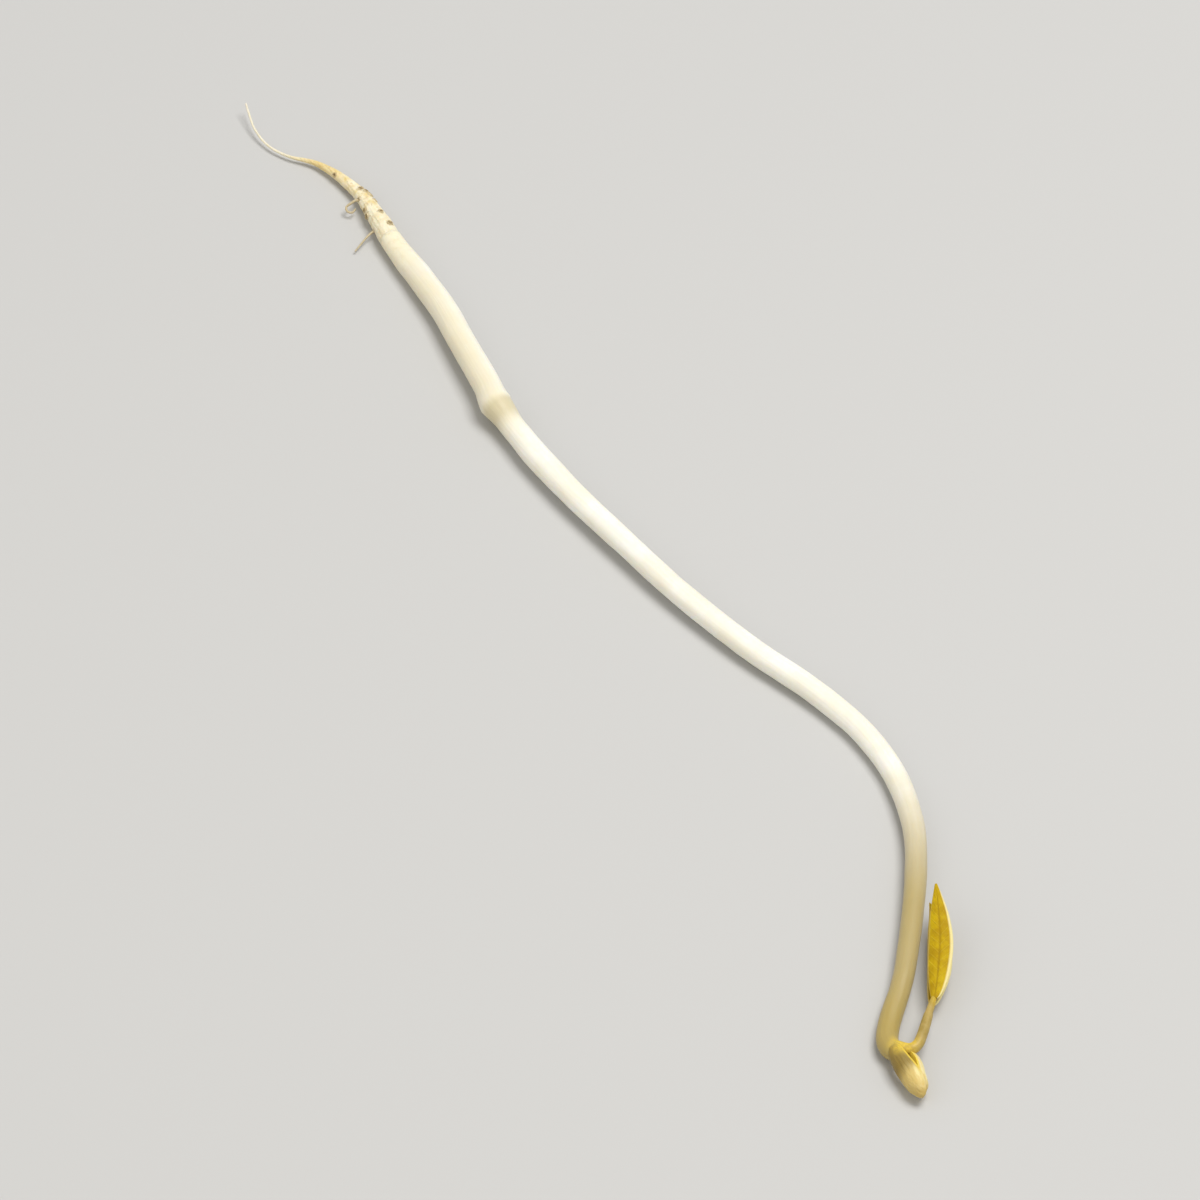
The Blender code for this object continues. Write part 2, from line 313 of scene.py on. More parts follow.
def make_blotches():
    """Soft uneven blotches: noise, with more or fewer of them."""
    group, given, result = new_group(
        "Blotches",
        (
            ("Place", "NodeSocketVector", None),
            ("Size", "NodeSocketFloat", 1.0),
            ("Start", "NodeSocketFloat", 0.45),
            ("End", "NodeSocketFloat", 0.65),
        ),
    )
    scale = reckon(group, "DIVIDE", 1.0, given.outputs["Size"])
    noise = put(
        group,
        "ShaderNodeTexNoise",
        {"Vector": given.outputs["Place"], "Scale": scale, "Detail": 4.0, "Roughness": 0.6},
    )
    mask = fade(group, noise.outputs[0], given.outputs["Start"], given.outputs["End"])
    group.links.new(mask, result.inputs["Mask"])
    return group


STREAKS = make_streaks()
BLOTCHES = make_blotches()
print("node groups:", STREAKS.name, "and", BLOTCHES.name)


# %% Placing the groups in a material
def streaks(tree, place, length, across, contrast):
    """A mask of streaks: how long they are, how many lie side by side, and how clear they are."""
    values = {"Place": place, "Length": length, "Per unit across": across, "Contrast": contrast}
    return put(tree, "ShaderNodeGroup", values, node_tree=STREAKS).outputs["Mask"]


def blotches(tree, place, size, start, end):
    """A mask of blotches: their size, and the noise where they start and where they are full."""
    values = {"Place": place, "Size": size, "Start": start, "End": end}
    return put(tree, "ShaderNodeGroup", values, node_tree=BLOTCHES).outputs["Mask"]


# %% Starting a material, and finishing it
def start_material(name, **shader_values):
    """A material with a Principled shader, and its tree. Plain numbers go on the sockets."""
    material = bpy.data.materials.new(name)
    material.use_nodes = True
    shader = material.node_tree.nodes["Principled BSDF"]
    for socket, value in shader_values.items():
        shader.inputs[socket.replace("_", " ")].default_value = value
    return material, material.node_tree, shader


def finish_skin(tree, shader, colour, mask, roughness, height, strength, depth):
    """Links the colour, a roughness between two values by a mask, and a relief some mm deep."""
    smoothest, roughest = roughness
    values = {"Value": mask, "To Min": smoothest, "To Max": roughest}
    rough = put(tree, "ShaderNodeMapRange", values)
    values = {"Height": height, "Strength": strength, "Distance": depth * MM}
    relief = put(tree, "ShaderNodeBump", values)
    tree.links.new(colour, shader.inputs["Base Color"])
    tree.links.new(rough.outputs[0], shader.inputs["Roughness"])
    tree.links.new(relief.outputs[0], shader.inputs["Normal"])
    return relief


# %% Reading where a point is
def place_in_millimetres(tree):
    """The point's own place on the sprout, from Object coordinates, in millimetres."""
    place = put(tree, "ShaderNodeTexCoord").outputs["Object"]
    made = put(tree, "ShaderNodeVectorMath", {0: place, "Scale": 1 / MM}, operation="SCALE")
    return made.outputs[0]


def straight_place(tree):
    """The place that the point had before its piece was bent, in millimetres."""
    made = put(tree, "ShaderNodeAttribute", attribute_name="straight")
    return made.outputs["Vector"]


def split(tree, place):
    """The x, y and z of a place."""
    return put(tree, "ShaderNodeSeparateXYZ", {0: place}).outputs


def distance_to(tree, place, centre):
    """How far a place is from a fixed point."""
    made = put(tree, "ShaderNodeVectorMath", {0: place, 1: centre}, operation="DISTANCE")
    return made.outputs["Value"]


# %% [markdown]
# ## The stem
#
# The long white part under the seed leaves is the hypocotyl. It is crisp, moist and slightly
# see-through, 2.8 mm thick near the root, with a 3.2 mm knob after about 27 mm, where it steps
# down to 2.6 mm. It thins evenly from there to 2 mm at its hooked head.
# Rings every half millimetre are enough for the knob. One ring there is widened and its edge is
# creased, which keeps a rim when the stem is subdivided. A Displace modifier with a cloud texture
# takes away the look of a turned rod. The underside is cut flat where the stem rests.

# %% The stem's route: x, y, height of its middle, and thickness, in millimetres
COLLAR_X = -51.6
STEM_ROUTE = (
    (COLLAR_X + 0.1, -3.14, 1.25, 2.26),
    (-49.4, -3.1, 1.21, 2.38),
    (-46.9, -3.0, 1.215, 2.60),
    (-44.3, -2.9, 1.33, 2.72),
    (-39.2, -2.9, 1.53, 2.76),
    (-34.0, -3.3, 1.70, 2.77),
    (-28.9, -3.7, 1.86, 2.86),
    (-26.6, -3.9, 1.89, 2.88),
    (-25.4, -4.1, 1.91, 3.02),
    (-24.5, -4.22, 1.93, 3.20),
    (-23.8, -4.24, 1.91, 3.16),
    (-23.1, -4.16, 1.84, 2.98),
    (-22.5, -4.10, 1.76, 2.80),
    (-21.6, -4.05, 1.68, 2.62),
    (-20.5, -4.0, 1.62, 2.54),
    (-19.2, -3.9, 1.60, 2.58),
    (-15.5, -3.6, 1.60, 2.66),
    (-8.6, -2.65, 1.63, 2.56),
    (-2.1, -1.4, 1.66, 2.46),
    (5.7, 0.2, 1.58, 2.43),
    (11.7, 1.8, 1.47, 2.42),
    (17.6, 3.65, 1.37, 2.42),
    (23.7, 6.05, 1.26, 2.40),
    (29.3, 7.75, 1.14, 2.38),
    (34.0, 8.45, 1.085, 2.34),
    (38.8, 8.25, 1.13, 2.30),
    (43.0, 7.35, 1.27, 2.22),
    (47.2, 5.85, 1.42, 2.14),
    (53.3, 2.55, 1.54, 2.10),
    (60.25, -1.9, 1.34, 2.03),
    (63.05, -4.0, 1.16, 2.05),
    (65.25, -5.95, 1.02, 2.09),
    (67.1, -7.37, 0.97, 2.10),
    (68.5, -8.05, 1.06, 2.10),
    (69.6, -8.1, 1.24, 2.04),
    (70.2, -8.0, 1.38, 1.70),
)

# %% Grow the stem
STEM_RING_STEP = 0.45
STEM_WIDE, STEM_HIGH = 1.02, 0.98
HEAD_BULGE = 0.7
stem_rings = straighten(STEM_ROUTE, STEM_RING_STEP)
STEM_LENGTH = stem_rings[-1][0]
stem_rings += rounded_end(STEM_LENGTH, stem_rings[-1][1], bulge=HEAD_BULGE)
oval_rings = [(x, thick * STEM_WIDE, thick * STEM_HIGH) for x, thick in stem_rings]
stem = grow("stem", oval_rings, sides=20)
print(f"stem: {len(stem_rings)} rings along {STEM_LENGTH:.1f} mm")

# %% Give the knob a rim, where its step begins
STEP_BEGINS = 27.6
RIM_SWELL = 1.03
KNOB_RIM = min((x for x, _ in stem_rings), key=lambda x: abs(x - STEP_BEGINS))
take(stem)
bpy.ops.object.mode_set(mode="EDIT")
pick(lambda co: abs(co.x - KNOB_RIM) < 0.05)
bpy.ops.transform.resize(value=(1, RIM_SWELL, RIM_SWELL), center_override=(KNOB_RIM, 0, 0))
bpy.ops.transform.edge_crease(value=0.9)
bpy.ops.object.mode_set(mode="OBJECT")
print(f"knob: rim {KNOB_RIM:.2f} mm from the collar")

# %% Smooth it, make it a little uneven, and bend it
# The unevenness grows over the first millimetres, so that the collar still fits the root.
EVEN_COLLAR = 5
modify(stem, "SUBSURF", levels=1, render_levels=1)
clouds = bpy.data.textures.new("soft unevenness", "CLOUDS")
clouds.noise_scale = 3.2
clouds.noise_depth = 2
uneven_part = stem.vertex_groups.new(name="uneven part")
for vertex in stem.data.vertices:
    uneven_part.add([vertex.index], min(1, max(0, vertex.co.x / EVEN_COLLAR)), "REPLACE")
modify(
    stem, "DISPLACE", texture=clouds, strength=0.10, mid_level=0.5, vertex_group="uneven part"
)
remember_straight(stem)
bend(stem, STEM_ROUTE)
print("stem:", len(stem.data.vertices), "points after smoothing")


# %% Cut its underside flat where it rests
def rest_on_surface(piece):
    """Cuts off what lies under the surface and closes the cut."""
    take(piece)
    bpy.ops.object.mode_set(mode="EDIT")
    bpy.ops.mesh.select_all(action="SELECT")
    bpy.ops.mesh.bisect(
        plane_co=(0, 0, 0), plane_no=(0, 0, 1), use_fill=True, clear_inner=True, threshold=1e-5
    )
    bpy.ops.object.mode_set(mode="OBJECT")


rest_on_surface(stem)
resting = sum(1 for vertex in stem.data.vertices if abs(vertex.co.z) < 1e-4)
print("stem:", resting, "points on the surface")

# %% [markdown]
# The stem's skin is ivory with faint long streaks of beige. Its thick part is oatmeal on one side,
# and the face of the knob's step is beige; both are partly its own tone and partly painted shade.
# It turns tan towards the root's collar and yellow where the shoot and the seed leaves leave it.
# Towards the hook it turns straw, which is also partly painted shade. Light goes a little way into
# it, so it gets some subsurface scattering, and its moist skin is satin, not glossy.


# %% The colour at the collar, which stem and root share so that no seam shows
def collar_colour(tree, place):
    """Cream, mottled with tan."""
    cream, tan = (0.88, 0.82, 0.62, 1), (0.74, 0.62, 0.36, 1)
    mottled = blotches(tree, place, 0.9, 0.42, 0.75)
    return blend(tree, mottled, cream, tan, most=0.7)


# %% The yellow glow at the node, which stem, shoot and seed leaves share for the same reason
# The node is where the shoot and the seed leaves leave the stem.
NODE = (70.2, -7.2, 2.0)
GLOW = (0.76, 0.54, 0.06, 1)
GLOW_REACH = (2.0, 0.5)


def head_glow(tree, place, colour):
    """Turns a colour yellow in patches near the node."""
    near = fade(tree, distance_to(tree, place, NODE), *GLOW_REACH)
    values = {"Value": blotches(tree, place, 0.6, 0.35, 0.6), "To Min": 0.5}
    patchy = put(tree, "ShaderNodeMapRange", values)
    return blend(tree, reckon(tree, "MULTIPLY", near, patchy.outputs[0]), colour, GLOW)


# %% The stem's material
# Each tone fades in between two distances from the collar, in millimetres.
# The oatmeal side of the thick part is partly the stem's own tone, partly painted shade.
OATMEAL_AND_SHADE_FADE = (36, 24)
# The beige of the knob's step is partly the stem's own tone, partly painted shade.
STEP_SHADE_STARTS = (KNOB_RIM - 0.2, KNOB_RIM + 0.9)
STEP_SHADE_ENDS = (KNOB_RIM + 4.2, KNOB_RIM + 1.8)
# The straw towards the hook is partly the stem's own tone, partly painted shade.
STRAW_AND_SHADE_FADE = (STEM_LENGTH - 41, STEM_LENGTH - 18)
OLIVE_FADE = (STEM_LENGTH - 12, STEM_LENGTH - 3)
# The root's first scar lies so near the collar that its brown edge runs on over the stem.
COLLAR_SCAR = (-51.05, -4.1, 1.69)
SCAR_BROWN = (0.46, 0.35, 0.18, 1)


def make_stem_skin():
    """Ivory with streaks and tones at both ends; oatmeal at the thick part, beige at the knob and
    straw at the hook are partly painted shade.
    """
    material, tree, shader = start_material(
        "stem skin",
        Subsurface_Weight=0.3,
        Subsurface_Radius=(1.0, 0.8, 0.45),
        Subsurface_Scale=1.2 * MM,
        Specular_IOR_Level=0.45,
    )
    place = straight_place(tree)
    along, across, _ = split(tree, place)
    ivory, pearl, beige = (0.89, 0.865, 0.75, 1), (0.93, 0.92, 0.86, 1), (0.74, 0.67, 0.47, 1)
    straw, olive = (0.45, 0.36, 0.155, 1), (0.42, 0.315, 0.09, 1)
    oatmeal_and_shade, shaded = (0.74, 0.66, 0.44, 1), (0.56, 0.48, 0.26, 1)
    patches = blotches(tree, place, 4.0, 0.35, 0.7)
    lines = streaks(tree, place, 9.0, 2.6, 0.5)
    colour = blend(tree, patches, ivory, pearl)
    colour = blend(tree, lines, colour, beige, most=0.14)
    # Painted shade: one side of the thick part is darker, mixed with its own oatmeal tone.
    shaded_side = fade(tree, across, 1.3, -0.3)
    thick = reckon(tree, "MULTIPLY", fade(tree, along, *OATMEAL_AND_SHADE_FADE), shaded_side)
    colour = blend(tree, thick, colour, oatmeal_and_shade, most=0.58)
    # Painted shade on the face of the knob's step, mixed with its own beige.
    step = fade(tree, along, *STEP_SHADE_STARTS)
    step = reckon(tree, "MULTIPLY", step, fade(tree, along, *STEP_SHADE_ENDS))
    colour = blend(tree, step, colour, shaded, most=0.64)
    # Straw towards the hook: partly its own tone, partly painted shade.
    colour = blend(tree, fade(tree, along, *STRAW_AND_SHADE_FADE), colour, straw)
    colour = blend(tree, fade(tree, along, *OLIVE_FADE), colour, olive, most=0.9)
    spot = place_in_millimetres(tree)
    colour = head_glow(tree, spot, colour)
    edge = fade(tree, distance_to(tree, spot, COLLAR_SCAR), 0.55, 0.2)
    colour = blend(tree, edge, colour, SCAR_BROWN, most=0.8)
    x, _, _ = split(tree, spot)
    colour = blend(tree, fade(tree, x, COLLAR_X + 8, COLLAR_X), colour, collar_colour(tree, spot))
    finish_skin(tree, shader, colour, patches, (0.36, 0.46), lines, 0.25, 0.06)
    return material


STEM_SKIN = make_stem_skin()
settle(stem, "hypocotyl", STEM_SKIN)

# %% [markdown]
# ## The taproot
#
# Under the collar the stem becomes the taproot: tan and mottled, 2.2 mm thick at first and a mere
# thread after 16 mm. Small brown scars dot it where side roots began, and two rootlets are left.
# Scars and rootlets are sunk into it, and a voxel Remesh melts them together with it, as grown.

# %% The root's routes and scars
ROOT_ROUTE = (
    (COLLAR_X - 0.1, -3.14, 1.24, 2.22),
    (-53.45, -3.0, 1.18, 2.12),
    (-55.2, -2.95, 1.10, 1.92),
    (-57.2, -2.9, 1.01, 1.64),
    (-59.2, -3.0, 0.92, 1.38),
    (-62.5, -3.7, 0.78, 1.03),
    (-65.15, -4.75, 0.66, 0.62),
    (-66.5, -5.8, 0.60, 0.46),
    (-67.4, -6.7, 0.56, 0.34),
    (-68.6, -7.5, 0.54, 0.29),
    (-69.9, -8.1, 0.56, 0.27),
    (-71.2, -8.4, 0.68, 0.26),
    (-72.7, -8.5, 0.92, 0.25),
    (-74.3, -8.3, 1.26, 0.24),
    (-75.9, -8.0, 1.60, 0.22),
)
CURLED_ROOTLET = (
    (-57.9, -3.3, 1.15, 0.44),
    (-57.95, -3.9, 1.28, 0.34),
    (-57.85, -4.45, 1.20, 0.28),
    (-57.75, -5.05, 1.00, 0.26),
    (-57.30, -5.15, 0.80, 0.26),
    (-56.95, -4.75, 0.75, 0.25),
    (-57.20, -4.30, 0.85, 0.23),
)
STRAIGHT_ROOTLET = (
    (-53.4, -3.4, 1.05, 0.36),
    (-53.15, -4.4, 0.95, 0.27),
    (-52.85, -5.1, 0.82, 0.24),
    (-52.45, -5.85, 0.62, 0.22),
    (-51.95, -6.75, 0.40, 0.18),
)
# Each scar: distance from the collar, angle around the root from its left side, and size.
SCARS = (
    (0.8, 117, 0.85),
    (2.9, 111, 0.70),
    (3.5, 15, 0.95),
    (4.4, 21, 0.70),
    (5.2, 150, 0.70),
    (6.2, 146, 0.95),
    (6.2, 30, 0.60),
    (6.8, 128, 0.80),
    (7.3, 105, 0.80),
    (11.1, 39, 0.62),
    (2.3, -60, 0.66),
    (3.2, -128, 0.62),
    (5.7, -80, 0.80),
    (8.6, -112, 0.50),
    (9.4, -55, 0.56),
)

# %% Grow the root, with slightly uneven rings
ROOT_RING_STEP = 0.35
MOST_UNEVEN = 0.03
EVEN_FOOT = 2
chance = random.Random(11)
# The first two rings reach into the stem's collar.
root_rings = [(-0.9, 1.90), (-0.4, 2.16)] + straighten(ROOT_ROUTE, ROOT_RING_STEP)
ROOT_LENGTH = root_rings[-1][0]
uneven = []
for x, thick in root_rings:
    play = MOST_UNEVEN * min(1, max(0, x / EVEN_FOOT))
    wide, high = (thick * (1 + chance.uniform(-play, play)) for _ in range(2))
    uneven.append((x, wide, high))
uneven += [(x, thick, thick) for x, thick in rounded_end(ROOT_LENGTH, root_rings[-1][1])]
root = grow("taproot", uneven, sides=16)
print(f"taproot: {len(uneven)} rings along {ROOT_LENGTH:.1f} mm")

# %% One scar: a low mound with a sunken middle, pressed from a disc
# All are shares of the scar's width.
SCAR_HEIGHT = 0.34
SCAR_TOP = 0.72
SCAR_RIM = 0.14
SCAR_DIP = 0.16
SCAR_LENGTH = 0.85


def make_scar():
    """A scar 1 mm wide, to be copied and sized."""
    deselect()
    bpy.ops.mesh.primitive_circle_add(vertices=8, radius=0.5, fill_type="NGON")
    scar = bpy.context.object
    bpy.ops.object.mode_set(mode="EDIT")
    bpy.ops.mesh.select_all(action="SELECT")
    bpy.ops.mesh.extrude_region_move(TRANSFORM_OT_translate={"value": (0, 0, SCAR_HEIGHT)})
    bpy.ops.transform.resize(value=(SCAR_TOP, SCAR_TOP, 1))
    bpy.ops.mesh.inset(thickness=SCAR_RIM, depth=0)
    bpy.ops.transform.translate(value=(0, 0, -SCAR_DIP))
    bpy.ops.mesh.select_all(action="SELECT")
    bpy.ops.mesh.normals_make_consistent(inside=False)
    bpy.ops.object.mode_set(mode="OBJECT")
    return scar


scar_model = make_scar()
print("faces of a scar:", len(scar_model.data.polygons))


# %% Copy it to its places on the straight root, and bend each copy with the root
def root_thickness(distance):
    """How thick the root is at a distance from the collar."""
    for (start, thick), (end, next_thick) in zip(root_rings, root_rings[1:]):
        if start <= distance <= end:
            return thick + (next_thick - thick) * (distance - start) / (end - start)
    return root_rings[-1][1]


scars = []
scar_centres = []
for distance, angle, size in SCARS:
    scar = scar_model.copy()
    scar.data = scar_model.data.copy()
    bpy.context.scene.collection.objects.link(scar)
    turn = math.radians(angle)
    outward = Vector((0, math.cos(turn), math.sin(turn)))
    # Half of the scar's height is sunk into the root.
    reach = root_thickness(distance) / 2 - SCAR_HEIGHT / 2 * size
    scar.location = Vector((distance, 0, 0)) + outward * reach
    scar.rotation_euler = outward.to_track_quat("Z", "Y").to_euler()
    scar.scale = (size * SCAR_LENGTH, size, size)
    take(scar)
    bpy.ops.object.transform_apply(location=True, rotation=True, scale=True)
    bend(scar, ROOT_ROUTE)
    middle = sum((vertex.co for vertex in scar.data.vertices), Vector()) / len(scar.data.vertices)
    scar_centres.append((middle, size))
    scars.append(scar)
bpy.data.objects.remove(scar_model, do_unlink=True)
bend(root, ROOT_ROUTE)
print("scars:", len(scars))


# %% Growing a plain stalk in place, and melting stalks into one body
def grow_along(name, route, step, sides):
    """A plain stalk with a rounded tip, bent along its route."""
    rings = straighten(route, step)
    rings += rounded_end(*rings[-1])
    return bend(grow(name, [(x, thick, thick) for x, thick in rings], sides), route, step / 2)


VOXEL = 0.05


def melt_together(piece, *others, smoothing):
    """Joins the others to a piece and melts them into one body with soft corners."""
    take(piece, *others)
    bpy.ops.object.join()
    modify(piece, "REMESH", mode="VOXEL", voxel_size=VOXEL)
    modify(piece, "SMOOTH", factor=0.5, iterations=smoothing)
    print(f"{piece.name}: {len(piece.data.vertices)} points after melting")


# %% Grow the rootlets and melt all into the root
curled = grow_along("curled rootlet", CURLED_ROOTLET, 0.3, 8)
straight = grow_along("straight rootlet", STRAIGHT_ROOTLET, 0.3, 8)
melt_together(root, curled, straight, *scars, smoothing=2)


# %% Mark how near each point is to a scar or on a rootlet
def nearest_of(points):
    """A tree that finds which of these points is the nearest to a place."""
    tree = KDTree(len(points))
    for number, point in enumerate(points):
        tree.insert(point, number)
    tree.balance()
    return tree


def store_marks(piece, name, marks):
    """Stores one number for each point, for the material to read."""
    take(piece)
    bpy.ops.geometry.attribute_add(name=name, domain="POINT", data_type="FLOAT")
    piece.data.attributes[name].data.foreach_set("value", marks)


# A scar's mark reaches as far as this share of its size.
MARK_REACH = 0.72


def mark_scars(piece):
    """Stores 1 at a scar's middle, fading to 0 at its edge."""
    tree = nearest_of([centre for centre, _ in scar_centres])
    marks = []
    for vertex in piece.data.vertices:
        _, number, distance = tree.find(vertex.co)
        marks.append(max(0.0, 1 - distance / (MARK_REACH * scar_centres[number][1])))
    store_marks(piece, "scar", marks)


def mark_rootlets(piece):
    """Stores 1 on the two rootlets, fading out at their feet."""
    # Eight steps of 0.1 mm at the start of each lie in the root.
    feet = 8
    points = smooth_route(CURLED_ROOTLET, 0.1)[feet:] + smooth_route(STRAIGHT_ROOTLET, 0.1)[feet:]
    tree = nearest_of([point[:3] for point in points])
    # The mark is 1 up to 0.24 mm from a rootlet's middle, and 0 from 0.44 mm on.
    marks = [max(0.0, min(1.0, 2.2 - tree.find(v.co)[2] / 0.2)) for v in piece.data.vertices]
    store_marks(piece, "rootlet", marks)


mark_scars(root)
mark_rootlets(root)

# %% [markdown]
# The root's skin is tan, with ivory showing through more and more towards the collar. Its thread
# is pale and dry. The scars are dark brown with a ragged edge, which noise added to the stored
# distance gives, and the rootlets are thin brown hairs.


# %% The root's material
# Where the root turns pale, and where its thread begins, by x in millimetres.
PALE_FADE = (-66, -59)
THREAD_FADE = (-64.5, -69)


def make_root_skin():
    """Tan to ivory, with a pale thread, dark ragged scars and brown rootlets."""
    material, tree, shader = start_material(
        "root skin",
        Subsurface_Weight=0.15,
        Subsurface_Radius=(1.0, 0.7, 0.35),
        Subsurface_Scale=0.8 * MM,
        Specular_IOR_Level=0.35,
    )
    place = place_in_millimetres(tree)
    x, _, _ = split(tree, place)
    tan, ochre, ivory = (0.80, 0.64, 0.28, 1), (0.66, 0.47, 0.17, 1), (0.96, 0.92, 0.74, 1)
    thread, bark, hairs = (0.84, 0.77, 0.60, 1), (0.24, 0.17, 0.08, 1), (0.50, 0.42, 0.27, 1)
    lines = streaks(tree, place, 3.0, 3.2, 0.5)
    colour = blend(tree, lines, tan, ochre, most=0.4)
    pale = blotches(tree, place, 0.8, 0.3, 0.6)
    pale = reckon(tree, "MULTIPLY", pale, fade(tree, x, *PALE_FADE))
    colour = blend(tree, pale, colour, ivory, most=0.9)
    colour = blend(tree, fade(tree, x, COLLAR_X - 6, COLLAR_X), colour, collar_colour(tree, place))
    specks = blotches(tree, place, 0.4, 0.52, 0.66)
    specks = reckon(tree, "MULTIPLY", specks, fade(tree, x, COLLAR_X, COLLAR_X - 3))
    colour = blend(tree, specks, colour, ochre, most=0.55)
    colour = blend(tree, fade(tree, x, *THREAD_FADE), colour, thread)
    hair = put(tree, "ShaderNodeAttribute", attribute_name="rootlet").outputs["Fac"]
    colour = blend(tree, hair, colour, hairs, most=0.9)
    near = put(tree, "ShaderNodeAttribute", attribute_name="scar").outputs["Fac"]
    ragged = put(tree, "ShaderNodeTexNoise", {"Vector": place, "Scale": 5.0, "Detail": 3.0})
    edge = reckon(tree, "MULTIPLY_ADD", ragged.outputs[0], 0.9, -0.48)
    spot = reckon(tree, "ADD", near, edge)
    colour = blend(tree, fade(tree, spot, 0.08, 0.5), colour, SCAR_BROWN, most=0.85)
    colour = blend(tree, fade(tree, spot, 0.5, 0.85), colour, bark)
    height = reckon(tree, "ADD", lines, ragged.outputs[0])
    finish_skin(tree, shader, colour, lines, (0.50, 0.70), height, 0.6, 0.08)
    return material


ROOT_SKIN = make_root_skin()
settle(root, "root", ROOT_SKIN)

# %% [markdown]
# ## The seed leaves
#
# The two halves of the bean stay on the sprout as its seed leaves. They are cream yellow, nearly
# used up, and drawn in at the foot. Each is grown as a short stalk that swells to a rounded lobe.
# The side towards its twin is pressed nearly flat. The two bow apart near the foot, which leaves
# a slit there, and they close from half-way down, like a coffee bean.

# %% One seed leaf's rings
SEED_LEAF_LENGTH = 5.7
SEED_LEAF_THICKNESS = 1.2
SEED_LEAF_HEIGHT = 2.4
SEED_LEAF_BASE = (70.38, -7.80, 1.44)
SEED_LEAF_TURN = math.radians(-4)
SEED_LEAF_ROLL = math.radians(-26)
SLIT_CLOSES = 2.6
PRESSED_FLAT = 0.02
SPINE_STEP = 1.5
# Share of the length, and share of the full thickness and height there.
LOBE = (
    (-0.16, 0.58),
    (-0.05, 0.72),
    (0.06, 0.80),
    (0.18, 0.88),
    (0.32, 0.96),
    (0.46, 1.00),
    (0.58, 0.99),
    (0.70, 0.93),
    (0.80, 0.83),
    (0.88, 0.69),
    (0.94, 0.52),
    (0.98, 0.33),
    (1.00, 0.12),
)
lobe_rings = [
    (share * SEED_LEAF_LENGTH, 2 * SEED_LEAF_THICKNESS * full, SEED_LEAF_HEIGHT * full)
    for share, full in LOBE
]
print("rings of a lobe:", len(lobe_rings))

# %% Shape one lobe: flat towards the slit, with a few lengthwise folds
def make_seed_leaf(name, side, length, bow):
    """Side 1 is the one at the outer side of the stem's bend, side -1 its twin.

    The bow says how far the lobe leans aside at every step of its spine.
    """
    lobe = grow(name, [(x * length, wide, high) for x, wide, high in lobe_rings], sides=40)
    bpy.ops.object.mode_set(mode="EDIT")
    pick(lambda co: co.y * side < -1e-4)
    bpy.ops.transform.resize(value=(1, PRESSED_FLAT, 1), center_override=(0, 0, 0))
    pick(lambda co: abs(co.y) < 1e-4)
    bpy.ops.transform.edge_crease(value=0.4)
    pick(lambda co: abs(co.y) < 1e-4 and co.x > SLIT_CLOSES)
    bpy.ops.transform.edge_crease(value=0.6)
    bpy.ops.object.mode_set(mode="OBJECT")
    modify(lobe, "SUBSURF", levels=1, render_levels=1)
    remember_straight(lobe)
    bend(lobe, [(number * SPINE_STEP, aside, 0, 1) for number, aside in enumerate(bow)])
    wrinkles = bpy.data.textures.new(name + " wrinkles", "CLOUDS")
    wrinkles.noise_scale = 0.9
    wrinkles.noise_depth = 2
    back = lobe.vertex_groups.new(name="back")
    for vertex, was in zip(lobe.data.vertices, lobe.data.attributes["straight"].data):
        back.add([vertex.index], min(1, abs(was.vector.y) / 0.4), "REPLACE")
    modify(
        lobe, "DISPLACE", texture=wrinkles, strength=0.18, mid_level=0.5, vertex_group="back"
    )
    take(lobe)
    lobe.rotation_euler = (SEED_LEAF_ROLL, 0, SEED_LEAF_TURN)
    lobe.location = SEED_LEAF_BASE
    bpy.ops.object.transform_apply(location=True, rotation=True, scale=True)
    return lobe


seed_leaf_right = make_seed_leaf("seed_leaf_right", 1, 0.94, (0.22, 0.42, 0.05, 0.04, 0.10))
seed_leaf_left = make_seed_leaf("seed_leaf_left", -1, 1.0, (-0.24, -0.18, 0.04, 0.06, 0.12))
print("seed leaves:", len(seed_leaf_right.data.vertices), "points each")

# %% [markdown]
# The lobes are cream on their rounded backs and yellow inside the slit. The left one is brown at
# its foot and ochre along its outer side, and both end in a darker tip; the brown, the ochre and
# the darker tips are partly their own tone and partly painted shade. Fine lengthwise wrinkles
# catch the light.


# %% The seed leaves' material
# Along a seed leaf, in millimetres: where the brown foot ends, and where the tip darkens.
# Both are partly the lobe's own tone and partly painted shade.
FOOT_AND_SHADE_FADE = (3.6, 1.8)
TIP_AND_SHADE_FADE = (4.0, 5.5)


